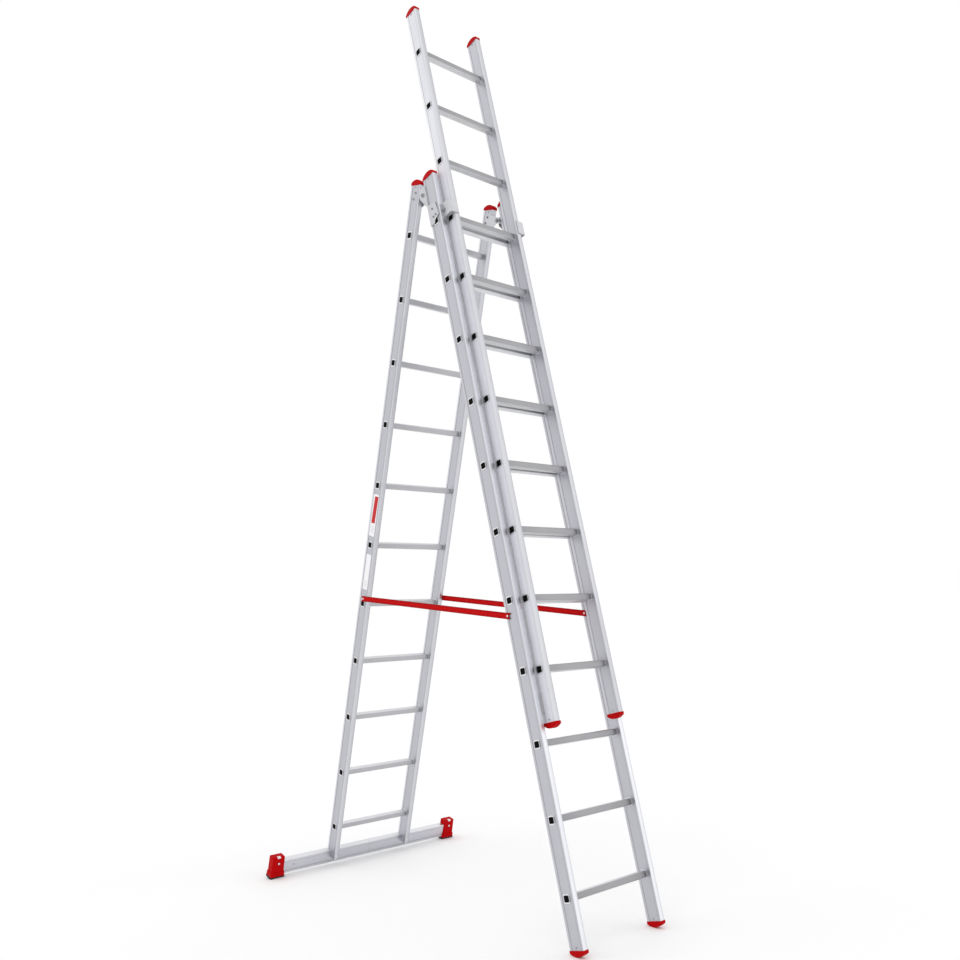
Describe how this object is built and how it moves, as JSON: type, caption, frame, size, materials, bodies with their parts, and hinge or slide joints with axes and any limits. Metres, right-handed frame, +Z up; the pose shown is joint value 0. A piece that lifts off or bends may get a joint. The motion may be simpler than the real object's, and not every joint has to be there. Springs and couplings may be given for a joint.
{
  "type": "combination ladder",
  "caption": "Aluminium three-section combination ladder standing as an A-frame, with its upper section run out, webbing straps, red end caps and a wide stabiliser bar.",
  "frame": {"origin": "on the floor, at the centre of the standing ladder's box", "axes": "+Z up, X along the rungs, the climbing side faces -Y"},
  "size_m": [1.081, 1.7732, 3.9586],
  "materials": {
    "aluminium": "satin, drawn along the profile",
    "plate_steel": "zinc plated",
    "bolt_steel": "zinc plated",
    "red_plastic": "moulded, slightly glossy",
    "black_plastic": "moulded, dull",
    "sole_rubber": "dull",
    "webbing": "woven strap"
  },
  "bodies": {
    "middle": {"guide_bolts": "bolt_steel", "guide_bracket_left": "plate_steel", "guide_bracket_right": "plate_steel", "guide_screws": "bolt_steel", "guide_sliders": "black_plastic", "hinge_bolts_front": "bolt_steel", "hinge_pivot_bolts": "bolt_steel", "hinge_plate_front_left": "plate_steel", "hinge_plate_front_right": "plate_steel", "hinge_spacers": "plate_steel", "middle_caps": "red_plastic", "middle_feet": "red_plastic", "middle_rung_plugs": "black_plastic", "middle_rungs": "aluminium", "middle_stile_left": "aluminium", "middle_stile_right": "aluminium", "strap_left": "webbing", "strap_right": "webbing", "strap_rivets_middle": "bolt_steel"},
    "rear": {"hinge_bolts_rear": "bolt_steel", "hinge_plate_rear_left": "plate_steel", "hinge_plate_rear_right": "plate_steel", "rear_caps": "red_plastic", "rear_rung_plugs": "black_plastic", "rear_rungs": "aluminium", "rear_stile_left": "aluminium", "rear_stile_right": "aluminium", "stabiliser_bar_left": "aluminium", "stabiliser_bar_right": "aluminium", "stabiliser_bolts": "bolt_steel", "stabiliser_joiner": "aluminium", "stabiliser_shoe_left": "red_plastic", "stabiliser_shoe_right": "red_plastic", "stabiliser_shoe_screws": "bolt_steel", "stabiliser_sole_left": "sole_rubber", "stabiliser_sole_right": "sole_rubber", "strap_rivets_rear": "bolt_steel"},
    "upper": {"upper_caps": "red_plastic", "upper_feet": "red_plastic", "upper_run_pads": "black_plastic", "upper_rung_plugs": "black_plastic", "upper_rungs": "aluminium", "upper_stile_left": "aluminium", "upper_stile_right": "aluminium"}
  },
  "joints": [
    {"name": "frame_fold", "type": "hinge", "parent": "middle", "child": "rear", "pos_m": [0, -0.01732, 3.0474], "axis": [-1, 0, 0], "range_deg": [0, 28.9], "deforming": ["strap_left", "strap_right"]},
    {"name": "upper_slide", "type": "slide", "parent": "middle", "child": "upper", "axis": [0, 0.2495, 0.9684], "range_m": [-0.56, 1.4]}
  ]
}
